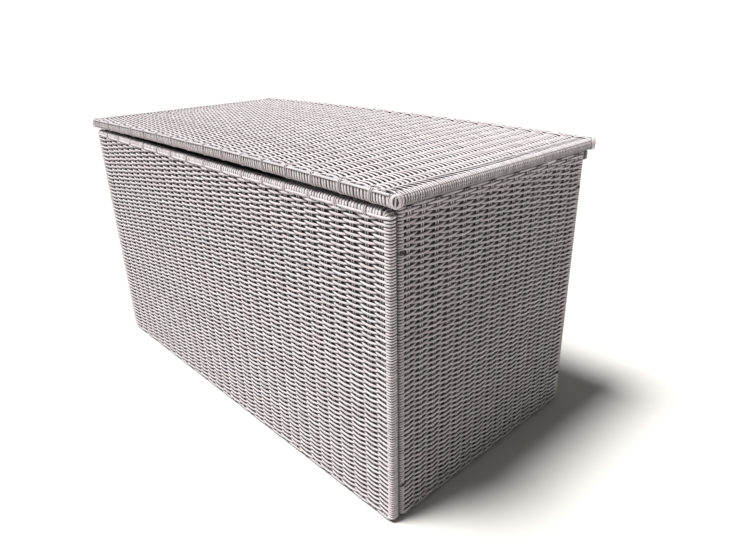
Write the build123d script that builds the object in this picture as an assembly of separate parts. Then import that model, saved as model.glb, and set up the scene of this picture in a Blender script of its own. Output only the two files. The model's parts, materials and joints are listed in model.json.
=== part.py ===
from build123d import *
import math
import os

# ---------------------------------------------------------------- driving sizes, mm
BODY_W = 1400.0          # outer length of the body, along X
BODY_D = 705.0           # outer depth of the body, along Y
FOOT_H = 4.0             # height of the glides under the panels
PANEL_TOP = 745.0        # top of the woven panels above the floor
PANEL_T = 24.0           # thickness of a wrapped panel
WRAP = 4.5               # thickness of strand round a tube
TUBE = 15.0              # square tube of the panel frames
WALL = 1.2               # wall of the panel tubes
BACK_GAP = 0.3           # back panel stands this far clear of each side panel
FRONT_GAP = 0.3          # side panels stand this far behind the front panel
FIELD_T = 2.2            # woven field of a panel, as solid as its strands
FIELD_SET = 1.5          # field lies this far inside the border
BORDER_H = 28.0          # height of the wrapped top border
FRONT_SAG = 2.0          # the front panel's top edge dips this much at mid length

LID_SIDE = 20.0          # lid overhang at both ends
LID_FRONT = 3.0          # lid overhang at the front
LID_REAR = 18.0          # lid overhang at the rear
LID_BOTTOM = 749.5       # underside of the lid rim at its ends
LID_T = 29.0             # thickness of the wrapped rim
LID_TUBE = 20.0          # square tube of the lid frame
LID_WALL = 1.5
LID_BOW = 7.0            # the lid rises this much at mid length
LID_FIELD_T = 2.5

BOLT_R = 3.0             # M6
BOLT_HOLE_R = 3.2
BOLT_HEAD_R = 5.5
RECESS_R = 6.5           # gap left in the weave over a bolt head
BOLT_Z = (94.0, 655.0)   # heights of the side bolts

RAIL_T = 14.0            # hinge rail with its wraps, along Y
RAIL_H = 22.0
PIN_Y = BODY_D / 2 + RAIL_T + 5.0     # hinge pin axis
PIN_Z = 748.3
PIN_R = 2.5
KNUCKLE_R = 5.0
HINGE_X = (-480.0, 480.0)
LEAF_W = 70.0
LEAF_T = 2.0
LEAF_SCREW_Z = 732.0      # the body leaf's screws

STAY_PIN = (184.0, 680.0)             # guide pin on the side panel's upright (y, z)
STAY_LID_Z = 736.0                    # height of the stay's pivot under the lid
STAY_OPEN_DEG = 95.0                  # lid opening at which the slot's end meets the pin
STAY_X = (661.0, 663.5)               # the stay's flat bar lies between these, right side
STAY_W = 20.0
STAY_SLOT_R = 3.2

LINER_X, LINER_Y = 650.0, 326.5
LINER_Z = (29.8, 737.0)
LINER_T = 0.8

OFFSET_Y = -10.5         # puts the origin under the middle of the whole box, lid and hinges included

W2, D2 = BODY_W / 2, BODY_D / 2
nodes = {}


# ---------------------------------------------------------------- helpers
def bx(x0, x1, y0, y1, z0, z1):
    """A box between two corners."""
    return Pos((x0 + x1) / 2, (y0 + y1) / 2, (z0 + z1) / 2) * Box(abs(x1 - x0), abs(y1 - y0), abs(z1 - z0))


def rod(axis, r, a0, a1, p, q):
    """A cylinder along X, Y or Z from a0 to a1. p and q are its other two coordinates, in X, Y, Z order."""
    m, h = (a0 + a1) / 2, abs(a1 - a0)
    if axis == "X":
        return Pos(m, p, q) * Rot(0, 90, 0) * Cylinder(r, h)
    if axis == "Y":
        return Pos(p, m, q) * Rot(90, 0, 0) * Cylinder(r, h)
    return Pos(p, q, m) * Cylinder(r, h)


def one(shape):
    """The shape as a plain compound or solid, whatever a boolean gave."""
    solids = shape.solids()
    return solids[0] if len(solids) == 1 else Compound(children=list(solids))


def add(name, *shapes):
    """Keeps a node made of these solids."""
    solids = [s for shape in shapes for s in shape.solids()]
    nodes[name] = solids[0] if len(solids) == 1 else Compound(children=solids)


def cut(name, *tools):
    """Takes tools away from a node."""
    shape = nodes[name]
    for t in tools:
        shape = shape - t
    add(name, shape)


def arc_z(x, rise, half):
    """Height at x over the ends of a circular arc that rises by rise at x = 0 and is level at +-half."""
    if abs(rise) < 1e-9:
        return 0.0
    r = (half * half + rise * rise) / (2 * abs(rise))
    return math.copysign(math.sqrt(r * r - x * x) - math.sqrt(r * r - half * half), rise)


def slab(x0, x1, y0, y1, z0, z1, low=0.0, high=0.0, half=1.0):
    """A block whose underside and top follow arcs along X: they rise by low and high at x = 0. z0 and z1 are the heights at x = +-half."""
    def pt(x, z, rise):
        return (x, z + arc_z(x, rise, half))

    xm = (x0 + x1) / 2
    with BuildSketch(Plane.XZ) as sk:
        with BuildLine():
            a, b = pt(x0, z0, low), pt(x1, z0, low)
            c, d = pt(x1, z1, high), pt(x0, z1, high)
            if abs(low) < 1e-9:
                Line(a, b)
            else:
                ThreePointArc(a, pt(xm, z0, low), b)
            Line(b, c)
            if abs(high) < 1e-9:
                Line(c, d)
            else:
                ThreePointArc(c, pt(xm, z1, high), d)
            Line(d, a)
        make_face()
    body = extrude(sk.sketch, amount=-(y1 - y0))
    return Pos(0, y0, 0) * body


def round_edges(shape, edges, r):
    """Fillets edges where the kernel can, and else leaves them sharp."""
    try:
        done = fillet(edges, r)
        return done if done.is_valid and done.volume > 0 else shape
    except Exception:
        return shape


# ---------------------------------------------------------------- woven panels
# A panel is made in a local frame: u along its length, w from 0 at its outer face to PANEL_T inwards, z up.
def panel(u0, u1, uprights, sag=0.0, top_r=12.0):
    z0, z1 = FOOT_H, PANEL_TOP
    half = max(abs(u0), abs(u1))

    def block(inset, w0, w1):
        return slab(u0 + inset, u1 - inset, w0, w1, z0 + inset, z1 - inset, 0.0, -sag, half)

    outer = block(0, 0, PANEL_T)
    ends = outer.edges().filter_by(Axis.Y)
    outer = round_edges(outer, ends.sort_by(Axis.Z)[-2:], top_r)
    outer = round_edges(outer, outer.edges().filter_by(Axis.Y).sort_by(Axis.Z)[:2], 6.0)
    face = outer.faces().sort_by(Axis.Y)[0]
    outer = round_edges(outer, face.edges(), 3.5)

    ring_out = block(WRAP, WRAP, WRAP + TUBE)
    ring_out = round_edges(ring_out, ring_out.edges().filter_by(Axis.Y).sort_by(Axis.Z)[-2:], top_r - WRAP + 1.0)
    ring_solid = ring_out - block(WRAP + TUBE, WRAP - 1, WRAP + TUBE + 1)
    void = block(WRAP + WALL, WRAP + WALL, WRAP + TUBE - WALL)
    void = round_edges(void, void.edges().filter_by(Axis.Y).sort_by(Axis.Z)[-2:], top_r - WRAP)
    void = void - block(WRAP + TUBE - WALL, WRAP, WRAP + TUBE)

    frame = ring_solid - void
    skin = outer - block(PANEL_T, FIELD_SET + FIELD_T, PANEL_T + 1) - block(PANEL_T, -1, FIELD_SET) - ring_solid
    # Flat uprights behind the weave, welded between the rails and flush with the tubes' inner faces.
    for u in uprights:
        top = z1 - WRAP - TUBE + arc_z(u, -sag, half) + 0.5
        bar = bx(u - 10, u + 10, WRAP + TUBE - 7.5, WRAP + TUBE, z0 + WRAP + TUBE - 0.5, top)
        frame = frame + bar
        skin = skin - bar

    split = z1 - BORDER_H
    top = skin & bx(u0 - 5, u1 + 5, -5, PANEL_T + 5, split, z1 + 20)
    weave = skin & bx(u0 - 5, u1 + 5, -5, PANEL_T + 5, z0 - 5, split)
    return one(frame), one(weave), one(top)


def place(name, local, at):
    for part, shape in zip(("frame", "weave", "top_wrap"), local):
        nodes[f"{name}_{part}"] = at * shape


front_uprights = (-233.0, 233.0)
place("front", panel(-W2, W2, front_uprights, FRONT_SAG), Pos(0, -D2, 0))
back_half = W2 - PANEL_T - BACK_GAP
place("back", panel(-back_half, back_half, front_uprights, top_r=5.0), Pos(0, D2, 0) * Rot(0, 0, 180))
side_u = (-D2 + PANEL_T + FRONT_GAP, D2)
side_uprights = (-160.0, STAY_PIN[0])
place("right", panel(side_u[0], side_u[1], side_uprights, top_r=6.0), Pos(W2, 0, 0) * Rot(0, 0, 90))
place("left", panel(-side_u[1], -side_u[0], [-u for u in side_uprights], top_r=6.0), Pos(-W2, 0, 0) * Rot(0, 0, -90))

# ---------------------------------------------------------------- knock-down joints of the four panels
tube_c = WRAP + TUBE / 2                       # a tube's centre, from the panel's outer face
front_bolt_y = -D2 + PANEL_T + FRONT_GAP + tube_c
rear_bolt_y = D2 - tube_c
tube_x = W2 - WRAP                             # outer face of a side stile
lug_x = (W2 - PANEL_T - 4.5, W2 - PANEL_T - 1.5)
bolts, washers, lock_nuts, rivet_nuts = [], [], [], []
for s in (-1, 1):
    name = "right" if s > 0 else "left"
    for z in BOLT_Z:
        # A lug welded to the front frame's stile reaches behind the side panel's front stile.
        lug = bx(s * lug_x[0], s * (tube_x - TUBE + 0.5), -D2 + WRAP + TUBE - 3.5, -D2 + WRAP + TUBE - 0.5, z - 20, z + 20)
        lug = lug + bx(s * lug_x[0], s * lug_x[1], -D2 + WRAP + TUBE - 3.5, front_bolt_y + 12, z - 20, z + 20)
        cut("front_weave", bx(s * lug_x[0], s * (tube_x - TUBE), -D2 + WRAP + TUBE - 3.5, -D2 + WRAP + TUBE - 0.5, z - 20, z + 20))
        add("front_frame", nodes["front_frame"] + lug - rod("X", BOLT_HOLE_R, s * (lug_x[0] - 2), s * (lug_x[1] + 2), front_bolt_y, z))
        for y, tip in ((front_bolt_y, lug_x[0] - 7.0), (rear_bolt_y, W2 - PANEL_T - 18.0)):
            bolt = rod("X", BOLT_R, s * tip, s * (tube_x + 1.2), y, z) + rod("X", BOLT_HEAD_R, s * (tube_x + 1.2), s * (W2 - 0.3), y, z)
            socket = Pos(s * (W2 - 1.3), y, z) * Rot(0, 90, 0) * extrude(RegularPolygon(2.3, 6), 1.0, both=True)
            bolts.append(bolt - socket)
            washers.append(rod("X", 6.0, s * tube_x, s * (tube_x + 1.2), y, z) - rod("X", BOLT_R, s * tube_x, s * (tube_x + 1.2), y, z))
            cut(f"{name}_weave", rod("X", RECESS_R, s * tube_x, s * (W2 + 2), y, z), rod("X", BOLT_HOLE_R, s * (W2 - PANEL_T - 1), s * tube_x, y, z))
            cut(f"{name}_frame", rod("X", BOLT_HOLE_R, s * (tube_x - TUBE - 1), s * (tube_x + 1), y, z))
        nut = Pos(s * (lug_x[0] - 2.5), front_bolt_y, z) * Rot(0, 90, 0) * extrude(RegularPolygon(5.77, 6), 2.5, both=True)
        lock_nuts.append(nut - rod("X", BOLT_R, s * (lug_x[0] - 6), s * lug_x[0], front_bolt_y, z))
        # The rear bolts end in threaded inserts in the back frame's stile.
        r0, r1 = W2 - PANEL_T - 16.0, W2 - PANEL_T - BACK_GAP
        insert = rod("X", 4.5, s * r0, s * r1, rear_bolt_y, z)
        rivet_nuts.append(insert - rod("X", BOLT_R, s * (r0 - 1), s * (r1 + 1), rear_bolt_y, z))
        cut("back_weave", insert)
        cut("back_frame", insert)

# ---------------------------------------------------------------- base
base_x, base_y = W2 - PANEL_T - 0.3, D2 - PANEL_T - 0.3
bz0, bz1 = FOOT_H + WRAP, FOOT_H + WRAP + TUBE


def tube_box(x0, x1, y0, y1, z0, z1, along):
    """A square tube with open ends."""
    t = WALL
    if along == "X":
        return bx(x0, x1, y0, y1, z0, z1) - bx(x0 - 1, x1 + 1, y0 + t, y1 - t, z0 + t, z1 - t)
    return bx(x0, x1, y0, y1, z0, z1) - bx(x0 + t, x1 - t, y0 - 1, y1 + 1, z0 + t, z1 - t)


base_bolts = []
base_tubes = {
    "front": tube_box(-base_x, base_x, -base_y, -base_y + TUBE, bz0, bz1, "X"),
    "rear": tube_box(-base_x, base_x, base_y - TUBE, base_y, bz0, bz1, "X"),
    "left": tube_box(-base_x, -base_x + TUBE, -base_y + TUBE, base_y - TUBE, bz0, bz1, "Y"),
    "right": tube_box(base_x - TUBE, base_x, -base_y + TUBE, base_y - TUBE, bz0, bz1, "Y"),
    "bar_left": tube_box(-232.5, -217.5, -base_y + TUBE, base_y - TUBE, bz0, bz1, "Y"),
    "bar_right": tube_box(217.5, 232.5, -base_y + TUBE, base_y - TUBE, bz0, bz1, "Y"),
}
for s, name in ((-1, "left"), (1, "right")):
    for y in (-200.0, 200.0):
        zc = (bz0 + bz1) / 2
        r0, r1 = W2 - PANEL_T, W2 - PANEL_T + 14.0
        insert = rod("X", 4.5, s * r0, s * r1, y, zc)
        rivet_nuts.append(insert - rod("X", BOLT_R, s * (r0 - 1), s * (r1 + 1), y, zc))
        cut(f"{name}_weave", insert)
        cut(f"{name}_frame", insert)
        base_bolts.append(rod("X", BOLT_R, s * (base_x - TUBE), s * (r1 - 1), y, zc) + rod("X", BOLT_HEAD_R, s * (base_x - TUBE - 3.5), s * (base_x - TUBE), y, zc))
        base_tubes[name] = base_tubes[name] - rod("X", BOLT_R, s * (base_x - TUBE - 1), s * (base_x + 1), y, zc)
add("base_frame", *base_tubes.values())
add("base_board", bx(-base_x + 0.2, base_x - 0.2, -base_y + 0.2, base_y - 0.2, bz1, bz1 + 6.0))

glides = []
for x in (-640.0, 640.0):
    for s, name in ((-1, "front"), (1, "back")):
        y = s * (D2 - tube_c)
        stem = rod("Z", 4.0, FOOT_H, FOOT_H + 14.0, x, y)
        disc = rod("Z", 6.5, 0.0, FOOT_H, x, y)
        disc = round_edges(disc, disc.edges().sort_by(Axis.Z)[:1], 1.2)
        glides.append(disc + stem)
        cut(f"{name}_weave", stem)
        cut(f"{name}_frame", stem)
add("foot_glides", *glides)

# ---------------------------------------------------------------- hinge rail on the back panel's top edge
rail_y0, rail_y1 = D2, D2 + RAIL_T
rail_z0, rail_z1 = PANEL_TOP - RAIL_H, PANEL_TOP
rail_x = W2 - 2.0
rail = bx(-rail_x, rail_x, rail_y0 + 2, rail_y1 - 2, rail_z0 + 2, rail_z1 - 2)
rail_void = bx(-rail_x - 1, rail_x + 1, rail_y0 + 3.5, rail_y1 - 3.5, rail_z0 + 3.5, rail_z1 - 3.5)
rail_skin = bx(-rail_x, rail_x, rail_y0, rail_y1, rail_z0, rail_z1)
rail_skin = round_edges(rail_skin, rail_skin.edges().filter_by(Axis.X), 1.8)
add("hinge_rail", rail - rail_void)
add("hinge_rail_wrap", rail_skin - rail)
add("rail_end_wraps", *[bx(s * rail_x, s * W2, rail_y0 + 0.3, rail_y1, rail_z0, rail_z1) for s in (-1, 1)])
rail_bolts = []
for x in (-620.0, -200.0, 200.0, 620.0):
    z = PANEL_TOP - WRAP - TUBE / 2
    shank = rod("Y", BOLT_R, D2 - WRAP - TUBE - 3, rail_y1 - 5, x, z)
    head = rod("Y", BOLT_HEAD_R, rail_y1 - 5, rail_y1 - 2, x, z)
    rail_bolts.append(shank + head)
    cut("hinge_rail", shank, head)
    cut("hinge_rail_wrap", shank)
    cut("back_top_wrap", shank)
    cut("back_frame", shank)
add("rail_bolts", *rail_bolts)

# ---------------------------------------------------------------- lid
lx = W2 + LID_SIDE
ly0, ly1 = -D2 - LID_FRONT, D2 + LID_REAR
lw = (LID_T - LID_TUBE) / 2


def lid_block(inset, z0, z1, x_inset=None):
    xi = inset if x_inset is None else x_inset
    return slab(-lx + xi, lx - xi, ly0 + inset, ly1 - inset, LID_BOTTOM + z0, LID_BOTTOM + z1, LID_BOW, LID_BOW, lx)


lid_outer = lid_block(0, 0, LID_T)
lid_outer = round_edges(lid_outer, lid_outer.edges().filter_by(Axis.Z), 16.0)
lid_outer = round_edges(lid_outer, lid_outer.faces().sort_by(Axis.Z)[-1].edges(), 7.0)
lid_outer = round_edges(lid_outer, lid_outer.faces().sort_by(Axis.Z)[0].edges(), 7.0)
lid_ring = lid_block(lw, lw, lw + LID_TUBE)
lid_ring = round_edges(lid_ring, lid_ring.edges().filter_by(Axis.Z), 12.0)
lid_ring = lid_ring - lid_block(lw + LID_TUBE, 0, LID_T)
lid_void = lid_block(lw + LID_WALL, lw + LID_WALL, lw + LID_TUBE - LID_WALL)
lid_void = round_edges(lid_void, lid_void.edges().filter_by(Axis.Z), 10.5)
lid_void = lid_void - lid_block(lw + LID_TUBE - LID_WALL, 0, LID_T)
rim = 2 * lw + LID_TUBE
add("lid_frame", lid_ring - lid_void)
add("lid_rim_wrap", lid_outer - lid_block(rim, -1, LID_T + 1) - lid_ring)
add("lid_weave", lid_block(rim, LID_T - 5.5, LID_T - 5.5 + LID_FIELD_T))
bars = []
for x in (-350.0, 0.0, 350.0):
    bars.append(slab(x - 10, x + 10, ly0 + lw + LID_TUBE, ly1 - lw - LID_TUBE, LID_BOTTOM + lw, LID_BOTTOM + lw + 10, LID_BOW, LID_BOW, lx))
add("lid_cross_bars", *bars)
for b in bars:
    cut("lid_rim_wrap", b)

bumpers = []
for x, y, z, r in ((-600.0, -D2 + tube_c, 744.9, 6.0), (600.0, -D2 + tube_c, 744.9, 6.0), (-W2 + 4.7, 0.0, 745.4, 3.5), (W2 - 4.7, 0.0, 745.4, 3.5)):
    b = rod("Z", r, z, 752.6, x, y)
    bumpers.append(b)
    cut("lid_rim_wrap", b)
add("lid_bumpers", *bumpers)

# ---------------------------------------------------------------- hinges
body_leaves, lid_leaves, pins, body_screws, lid_screws = [], [], [], [], []
for hx in HINGE_X:
    x0, x1 = hx - LEAF_W / 2, hx + LEAF_W / 2
    k0, k1 = hx - 13.0, hx + 13.0
    leaf_y = D2 + RAIL_T
    clear = rod("X", KNUCKLE_R + 0.3, k0 - 0.3, k1 + 0.3, PIN_Y, PIN_Z)
    body = bx(x0, x1, leaf_y, leaf_y + LEAF_T, rail_z0 + 1.0, PIN_Z) - clear
    for a, b in ((x0, k0 - 0.3), (k1 + 0.3, x1)):
        body = body + rod("X", KNUCKLE_R, a, b, PIN_Y, PIN_Z)
    body = body - bx(k0 - 0.3, k1 + 0.3, leaf_y - 1, PIN_Y + 6, PIN_Z - 5.3, PIN_Z + 6)
    body = body - rod("X", PIN_R, x0 - 1, x1 + 1, PIN_Y, PIN_Z)
    lid_z = PIN_Z + KNUCKLE_R
    lid = bx(x0, x1, PIN_Y - 36.5, PIN_Y, lid_z - LEAF_T, lid_z)
    for a, b in ((x0 - 1, k0), (k1, x1 + 1)):
        lid = lid - rod("X", KNUCKLE_R + 0.3, a, b, PIN_Y, PIN_Z) - bx(a, b, PIN_Y - 5.5, PIN_Y + 1, lid_z - 3, lid_z + 1)
    lid = lid + rod("X", KNUCKLE_R, k0, k1, PIN_Y, PIN_Z)
    lid = lid - rod("X", PIN_R + 0.05, x0 - 1, x1 + 1, PIN_Y, PIN_Z)
    for dx in (-27.0, -12.0, 12.0, 27.0):
        s = rod("Y", 1.9, leaf_y - 11.0, leaf_y + 1.0, hx + dx, LEAF_SCREW_Z) + rod("Y", 3.6, leaf_y + 0.8, leaf_y + LEAF_T, hx + dx, LEAF_SCREW_Z)
        body_screws.append(s)
        body = body - s
        cut("hinge_rail_wrap", s)
        cut("hinge_rail", s)
        s = rod("Z", 1.9, lid_z - 1.0, lid_z + 13.0, hx + dx, PIN_Y - 24.0) + rod("Z", 3.6, lid_z - LEAF_T, lid_z - 0.8, hx + dx, PIN_Y - 24.0)
        lid_screws.append(s)
        lid = lid - s
        cut("lid_rim_wrap", s)
        cut("lid_frame", s)
    cut("lid_rim_wrap", bx(x0, x1, PIN_Y - 36.5, PIN_Y + 1, lid_z - LEAF_T, lid_z), rod("X", KNUCKLE_R + 0.4, x0 - 0.5, x1 + 0.5, PIN_Y, PIN_Z))
    body_leaves.append(body)
    lid_leaves.append(lid)
    pins.append(rod("X", PIN_R, x0 - 1.5, x1 + 1.5, PIN_Y, PIN_Z))
add("hinge_body_leaves", *body_leaves)
add("hinge_lid_leaves", *lid_leaves)
add("hinge_pins", *pins)
add("hinge_body_screws", *body_screws)
add("hinge_lid_screws", *lid_screws)

# ---------------------------------------------------------------- slotted lid stays
# The stay's pivot under the lid and the guide pin on the side panel are equally far from the hinge pin, so the stay
# turns at exactly half the lid's rate and its slot always runs through the guide pin.
by, bz = STAY_PIN
reach = math.hypot(PIN_Y - by, PIN_Z - bz)
ly = PIN_Y - math.sqrt(reach ** 2 - (PIN_Z - STAY_LID_Z) ** 2)
lz = STAY_LID_Z
a0 = math.atan2(PIN_Z - bz, PIN_Y - by) - math.atan2(PIN_Z - lz, PIN_Y - ly)
len0 = 2 * reach * math.sin(a0 / 2)
len1 = 2 * reach * math.sin((a0 + math.radians(STAY_OPEN_DEG)) / 2)
turn = math.degrees(math.atan2(bz - lz, by - ly))          # direction of the closed stay in the YZ plane
print("stay: pivot y %.3f z %.3f, pin distance closed %.2f, open %.2f, direction %.2f deg" % (ly, lz, len0, len1, turn))


def stay_bar(x0, x1):
    """A flat bar with a round eye at the lid's pivot and one long slot for the guide pin, lying along its own +Y."""
    s0, s1 = len0 - 1.5, len1 + 0.3
    end = s1 + STAY_SLOT_R + 8.0
    bar = bx(x0, x1, 0, end - STAY_W / 2, -STAY_W / 2, STAY_W / 2)
    bar = bar + rod("X", STAY_W / 2, x0, x1, 0, 0) + rod("X", STAY_W / 2, x0, x1, end - STAY_W / 2, 0)
    slot = bx(x0 - 1, x1 + 1, s0, s1, -STAY_SLOT_R, STAY_SLOT_R)
    slot = slot + rod("X", STAY_SLOT_R, x0 - 1, x1 + 1, s0, 0) + rod("X", STAY_SLOT_R, x0 - 1, x1 + 1, s1, 0)
    bar = bar - slot - rod("X", BOLT_R + 0.05, x0 - 1, x1 + 1, 0, 0)
    return Pos(0, ly, lz) * Rot(turn, 0, 0) * bar


brackets, rivets, spacers, stay_screws = [], [], [], []
plates, shoulder, sleeves, plate_screws = [], [], [], []
up_x = W2 - WRAP - TUBE                       # inner face of a side upright
for s, name in ((-1, "left"), (1, "right")):
    xa, xb = sorted((s * STAY_X[0], s * STAY_X[1]))
    add(f"stay_{name}", stay_bar(xa, xb))
    px0, px1 = 666.0, 668.0
    f0, f1 = 748.6, 750.6
    plate = bx(s * px0, s * px1, ly - 18, ly + 18, lz, f1) + rod("X", 13.0, s * px0, s * px1, ly, lz)
    plate = plate + bx(s * px0, s * (W2 + 12), ly - 18, ly + 18, f0, f1)
    hole = rod("X", BOLT_R, s * 658, s * 672, ly, lz)
    cut("lid_rim_wrap", bx(s * px0, s * (W2 + 12), ly - 18, ly + 18, f0, f1))
    for dy in (-10.0, 10.0):
        sc = rod("Z", 2.1, f0 + 1.0, f0 + 16.0, s * 705.0, ly + dy) + rod("Z", 3.8, f0, f0 + 1.2, s * 705.0, ly + dy)
        stay_screws.append(sc)
        plate = plate - sc
        cut("lid_rim_wrap", sc)
        cut("lid_frame", sc)
    brackets.append(plate - hole)
    rivets.append(rod("X", BOLT_R, s * 660.0, s * 669.5, ly, lz) + rod("X", 5.5, s * 658.8, s * 660.8, ly, lz) + rod("X", 5.0, s * 668.0, s * 669.8, ly, lz))
    spacers.append(rod("X", 6.0, s * 663.8, s * 666.0, ly, lz) - rod("X", BOLT_R, s * 663, s * 667, ly, lz))
    pl = bx(s * (up_x - 2), s * up_x, by - 9.5, by + 9.5, bz - 26, bz + 26) - rod("X", BOLT_R, s * 660, s * 690, by, bz)
    for dz in (-18.0, 18.0):
        sc = rod("X", 2.1, s * (up_x - 1), s * (up_x + 6.5), by, bz + dz) + rod("X", 3.8, s * (up_x - 2), s * (up_x - 0.8), by, bz + dz)
        plate_screws.append(sc)
        pl = pl - sc
        cut(f"{name}_frame", sc)
    plates.append(pl)
    shoulder.append(rod("X", BOLT_R, s * 660.0, s * (up_x + 6.5), by, bz) + rod("X", 6.5, s * 657.4, s * 660.4, by, bz))
    cut(f"{name}_frame", rod("X", BOLT_R, s * (up_x - 1), s * (up_x + 6.5), by, bz))
    sleeves.append(rod("X", 6.0, s * 664.0, s * (up_x - 2), by, bz) - rod("X", BOLT_R, s * 663, s * up_x, by, bz))
add("stay_lid_brackets", *brackets)
add("stay_rivets", *rivets)
add("stay_spacers", *spacers)
add("stay_bracket_screws", *stay_screws)
add("stay_guide_plates", *plates)
add("stay_guide_pins", *shoulder)
add("stay_guide_sleeves", *sleeves)
add("stay_guide_screws", *plate_screws)

add("side_bolts", *bolts)
add("side_bolt_washers", *washers)
add("lock_nuts", *lock_nuts)
add("rivet_nuts", *rivet_nuts)
add("base_bolts", *base_bolts)

# ---------------------------------------------------------------- fabric liner, hung from the front and back panels
# Five flat pieces of cloth, sewn edge to edge: the bottom, the front and back, and the two ends between them.
wall_z0 = LINER_Z[0] + LINER_T
liner_pieces = [bx(-LINER_X, LINER_X, -LINER_Y, LINER_Y, LINER_Z[0], wall_z0)]
for s in (-1, 1):
    liner_pieces.append(bx(-LINER_X, LINER_X, s * (LINER_Y - LINER_T), s * LINER_Y, wall_z0, LINER_Z[1]))
    liner_pieces.append(bx(s * (LINER_X - LINER_T), s * LINER_X, -LINER_Y + LINER_T, LINER_Y - LINER_T, wall_z0, LINER_Z[1]))
add("liner", *liner_pieces)
tabs = []
for x in (-520.0, -175.0, 175.0, 520.0):
    for s in (-1, 1):
        tabs.append(bx(x - 15, x + 15, s * (LINER_Y + 0.1), s * (LINER_Y + 1.8), 680.0, 738.0))
add("liner_tabs", *tabs)

# The wraps of the lid's four edges are separate lengths of strand.
whole_rim = nodes["lid_rim_wrap"]
lo, hi = LID_BOTTOM - 20, LID_BOTTOM + LID_T + 30
add("lid_rim_wrap",
    whole_rim & bx(-lx - 5, lx + 5, ly0 - 5, ly0 + rim, lo, hi),
    whole_rim & bx(-lx - 5, lx + 5, ly1 - rim, ly1 + 5, lo, hi),
    whole_rim & bx(-lx - 5, -lx + rim, ly0 + rim, ly1 - rim, lo, hi),
    whole_rim & bx(lx - rim, lx + 5, ly0 + rim, ly1 - rim, lo, hi))

# ---------------------------------------------------------------- write one file per node
os.makedirs("parts", exist_ok=True)
for name, shape in nodes.items():
    solids = [Pos(0, OFFSET_Y, 0) * s for s in shape.solids()]
    export_step(solids[0] if len(solids) == 1 else Compound(children=solids), f"parts/{name}.step")
print(len(nodes), "nodes")
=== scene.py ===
import bpy
import json
import math
import numpy as np
from mathutils import Matrix, Vector


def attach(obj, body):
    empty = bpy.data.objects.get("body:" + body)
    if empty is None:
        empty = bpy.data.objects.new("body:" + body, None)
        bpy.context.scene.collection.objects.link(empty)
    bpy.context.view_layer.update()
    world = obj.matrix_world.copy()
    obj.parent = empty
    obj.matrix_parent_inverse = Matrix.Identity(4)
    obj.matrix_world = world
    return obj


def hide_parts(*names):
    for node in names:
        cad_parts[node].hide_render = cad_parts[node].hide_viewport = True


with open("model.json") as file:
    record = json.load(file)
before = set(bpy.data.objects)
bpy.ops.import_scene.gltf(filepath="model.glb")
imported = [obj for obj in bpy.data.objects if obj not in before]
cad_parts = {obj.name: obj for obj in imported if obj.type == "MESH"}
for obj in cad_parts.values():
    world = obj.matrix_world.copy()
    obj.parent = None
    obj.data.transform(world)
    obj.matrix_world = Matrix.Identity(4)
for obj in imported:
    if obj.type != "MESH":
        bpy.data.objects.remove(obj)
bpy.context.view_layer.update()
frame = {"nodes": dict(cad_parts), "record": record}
MM = 0.001
OY = -10.5           # the model's origin lies under the middle of the whole box
rng = np.random.default_rng(20)


# ------------------------------------------------------------------ camera, at the photo's view
def make_camera():
    az, el, roll = (math.radians(a) for a in (46.855, 23.0626, -1.3212))
    back = Vector((math.sin(az) * math.cos(el), -math.cos(az) * math.cos(el), math.sin(el)))
    d = -back
    right = d.cross(Vector((0, 0, 1))).normalized()
    up = right.cross(d)
    r2 = right * math.cos(roll) + up * math.sin(roll)
    u2 = up * math.cos(roll) - right * math.sin(roll)
    m = Matrix((r2, u2, back)).transposed().to_4x4()
    m.translation = Vector((1.43226, -1.07673 + OY * MM, 1.05595 + 0.004))
    cam = bpy.data.cameras.new("camera")
    cam.sensor_fit = "HORIZONTAL"
    cam.sensor_width = 36.0
    cam.lens = 595.611 / 750 * 36.0
    cam.clip_start, cam.clip_end = 0.02, 60
    ob = bpy.data.objects.new("camera", cam)
    ob.matrix_world = m
    bpy.context.scene.collection.objects.link(ob)
    bpy.context.scene.camera = ob


make_camera()


# ------------------------------------------------------------------ strand meshes
def section(k, flat_b=1.0, flat_n=1.0):
    a = (np.arange(k) + 0.5) * 2 * np.pi / k - np.pi / 2 - np.pi / k
    c, s = np.cos(a), np.sin(a)
    return np.sign(c) * np.abs(c) ** flat_b, np.sign(s) * np.abs(s) ** flat_n


def unit(v):
    return v / np.maximum(np.linalg.norm(v, axis=-1, keepdims=True), 1e-9)


def tubes(P, N, width, thick, k=8):
    """Ring vertices of strands with centrelines P (S, n, 3), outward normals N, widths and thicknesses that broadcast to (S, n)."""
    T = unit(np.gradient(P, axis=1))
    B = unit(np.cross(T, N))
    M = np.cross(B, T)
    sb, sn = section(k)
    w = np.broadcast_to(np.asarray(width, float), P.shape[:2])[..., None, None] / 2
    t = np.broadcast_to(np.asarray(thick, float), P.shape[:2])[..., None, None] / 2
    return P[:, :, None, :] + B[:, :, None, :] * w * sb[None, None, :, None] + M[:, :, None, :] * t * sn[None, None, :, None]


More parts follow.
